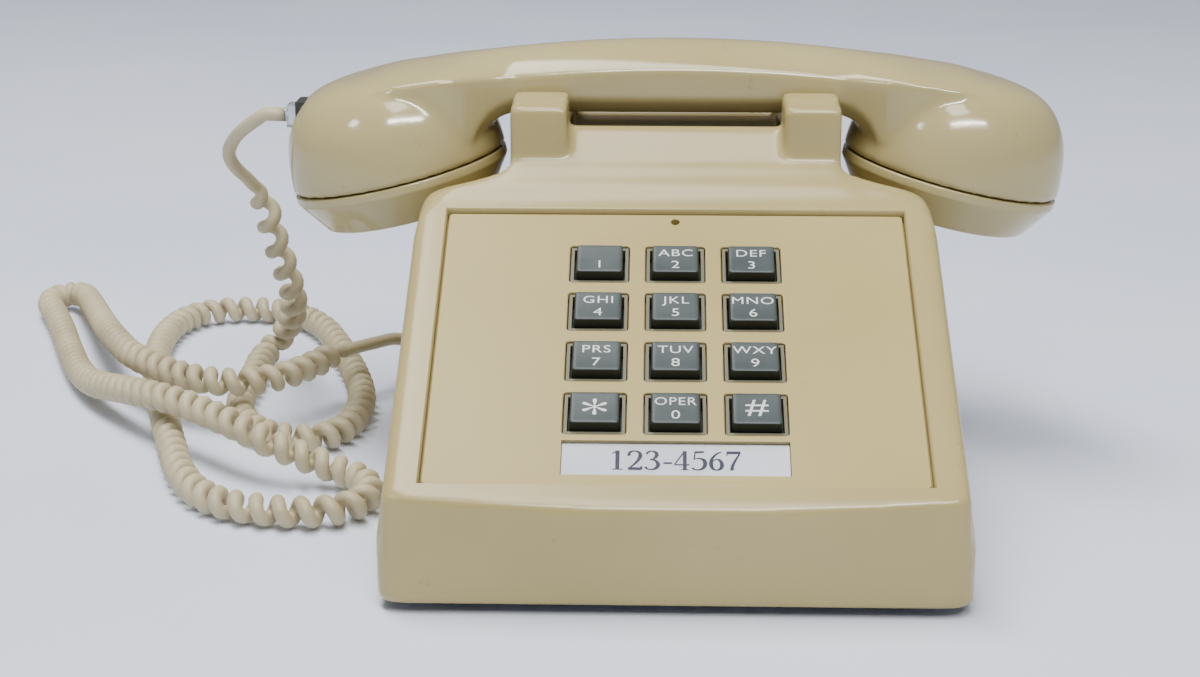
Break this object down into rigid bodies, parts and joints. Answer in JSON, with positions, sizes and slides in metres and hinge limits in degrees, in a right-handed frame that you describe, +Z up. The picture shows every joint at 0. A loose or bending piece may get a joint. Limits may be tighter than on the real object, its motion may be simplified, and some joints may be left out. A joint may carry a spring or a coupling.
{
  "type": "push-button desk telephone",
  "caption": "Push-button desk telephone: sloping faceplate with pressable keys, handset resting in a cradle with hook plungers, ringer works inside and a curly handset cord.",
  "frame": {"origin": "on the surface it stands on, below the middle of the telephone without its cord", "axes": "+X to the right of someone facing the keys, -Y out of the front, +Z up"},
  "size_m": [0.3348, 0.2851, 0.1179],
  "materials": {
    "beige_shell": "moulded beige ABS, worn semi-gloss",
    "key_grey": "moulded dark grey plastic, satin",
    "card": "white paper card",
    "clear": "clear moulded plastic",
    "black_plastic": "moulded black plastic",
    "board": "brown laminate board",
    "foot_rubber": "moulded black rubber",
    "zinc_steel": "zinc-plated sheet steel",
    "brass": "turned and spun brass",
    "coil_wrap": "varnished winding",
    "plunger": "off-white nylon",
    "cord": "beige vinyl cord jacket",
    "capsule": "drawn capsule cup"
  },
  "bodies": {
    "base": {"housing": "beige_shell", "faceplate": "beige_shell", "number_card": "card", "card_window": "clear", "base_plate": "zinc_steel", "rubber_feet": "foot_rubber", "base_screws": "zinc_steel", "keypad_frame": "key_grey", "keypad_board": "board", "hook_bracket": "zinc_steel", "hook_pin": "zinc_steel", "hook_springs": "zinc_steel", "hook_contacts": "brass", "network_box": "black_plastic", "network_terminals": "brass", "ringer_frame": "zinc_steel", "ringer_coil": "coil_wrap", "ringer_core": "zinc_steel", "gong_left": "brass", "gong_right": "brass", "gong_screws": "zinc_steel", "clapper_pin": "zinc_steel", "volume_bracket": "zinc_steel", "handset_jack": "black_plastic", "line_jack": "black_plastic", "base_plug": "clear", "handset_cord": "cord"},
    "handset": {"handset_shell": "beige_shell", "handset_socket": "black_plastic", "receiver_cap": "beige_shell", "transmitter_cap": "beige_shell", "receiver_capsule": "capsule", "transmitter_capsule": "capsule", "handset_plug": "clear"},
    "plunger_left": {"plunger_left": "plunger"},
    "plunger_right": {"plunger_right": "plunger"},
    "hook_lever": {"hook_lever": "zinc_steel"},
    "clapper": {"clapper": "zinc_steel"},
    "volume_wheel": {"volume_wheel": "black_plastic"},
    "key_1": {"key_1": "key_grey"},
    "key_2": {"key_2": "key_grey"},
    "key_3": {"key_3": "key_grey"},
    "key_4": {"key_4": "key_grey"},
    "key_5": {"key_5": "key_grey"},
    "key_6": {"key_6": "key_grey"},
    "key_7": {"key_7": "key_grey"},
    "key_8": {"key_8": "key_grey"},
    "key_9": {"key_9": "key_grey"},
    "key_star": {"key_star": "key_grey"},
    "key_0": {"key_0": "key_grey"},
    "key_hash": {"key_hash": "key_grey"}
  },
  "joints": [
    {"name": "key_1_press", "type": "slide", "parent": "base", "child": "key_1", "axis": [0, 0.4772, -0.8788], "range_m": [0, 0.0028], "stiffness_N_per_m": 250, "springref_m": -0.001},
    {"name": "key_2_press", "type": "slide", "parent": "base", "child": "key_2", "axis": [0, 0.4772, -0.8788], "range_m": [0, 0.0028], "stiffness_N_per_m": 250, "springref_m": -0.001},
    {"name": "key_3_press", "type": "slide", "parent": "base", "child": "key_3", "axis": [0, 0.4772, -0.8788], "range_m": [0, 0.0028], "stiffness_N_per_m": 250, "springref_m": -0.001},
    {"name": "key_4_press", "type": "slide", "parent": "base", "child": "key_4", "axis": [0, 0.4772, -0.8788], "range_m": [0, 0.0028], "stiffness_N_per_m": 250, "springref_m": -0.001},
    {"name": "key_5_press", "type": "slide", "parent": "base", "child": "key_5", "axis": [0, 0.4772, -0.8788], "range_m": [0, 0.0028], "stiffness_N_per_m": 250, "springref_m": -0.001},
    {"name": "key_6_press", "type": "slide", "parent": "base", "child": "key_6", "axis": [0, 0.4772, -0.8788], "range_m": [0, 0.0028], "stiffness_N_per_m": 250, "springref_m": -0.001},
    {"name": "key_7_press", "type": "slide", "parent": "base", "child": "key_7", "axis": [0, 0.4772, -0.8788], "range_m": [0, 0.0028], "stiffness_N_per_m": 250, "springref_m": -0.001},
    {"name": "key_8_press", "type": "slide", "parent": "base", "child": "key_8", "axis": [0, 0.4772, -0.8788], "range_m": [0, 0.0028], "stiffness_N_per_m": 250, "springref_m": -0.001},
    {"name": "key_9_press", "type": "slide", "parent": "base", "child": "key_9", "axis": [0, 0.4772, -0.8788], "range_m": [0, 0.0028], "stiffness_N_per_m": 250, "springref_m": -0.001},
    {"name": "key_star_press", "type": "slide", "parent": "base", "child": "key_star", "axis": [0, 0.4772, -0.8788], "range_m": [0, 0.0028], "stiffness_N_per_m": 250, "springref_m": -0.001},
    {"name": "key_0_press", "type": "slide", "parent": "base", "child": "key_0", "axis": [0, 0.4772, -0.8788], "range_m": [0, 0.0028], "stiffness_N_per_m": 250, "springref_m": -0.001},
    {"name": "key_hash_press", "type": "slide", "parent": "base", "child": "key_hash", "axis": [0, 0.4772, -0.8788], "range_m": [0, 0.0028], "stiffness_N_per_m": 250, "springref_m": -0.001},
    {"name": "handset_lift", "type": "slide", "parent": "base", "child": "handset", "axis": [0, 0, 1], "range_m": [0, 0.06]},
    {"name": "plunger_left_rise", "type": "slide", "parent": "base", "child": "plunger_left", "axis": [0, 0, 1], "range_m": [0, 0.0046]},
    {"name": "plunger_right_rise", "type": "slide", "parent": "base", "child": "plunger_right", "axis": [0, 0, 1], "range_m": [0, 0.0046]},
    {"name": "hook_lever_turn", "type": "hinge", "parent": "base", "child": "hook_lever", "pos_m": [0, 0.00803, 0.067], "axis": [1, 0, 0], "range_deg": [0, 9.5]},
    {"name": "clapper_swing", "type": "hinge", "parent": "base", "child": "clapper", "pos_m": [0, -0.011, 0.0135], "axis": [0, 0, 1], "range_deg": [-8.4, 8.4]},
    {"name": "volume_wheel_turn", "type": "hinge", "parent": "base", "child": "volume_wheel", "pos_m": [0.04, -0.08, 0.0154], "axis": [1, 0, 0], "range_deg": [0, 100]}
  ],
  "couplings": [
    {"joint": "plunger_left_rise", "follows": "handset_lift", "ratio": 0.075},
    {"joint": "plunger_right_rise", "follows": "handset_lift", "ratio": 0.075},
    {"joint": "hook_lever_turn", "follows": "handset_lift", "rad_per_m": 2.618}
  ]
}
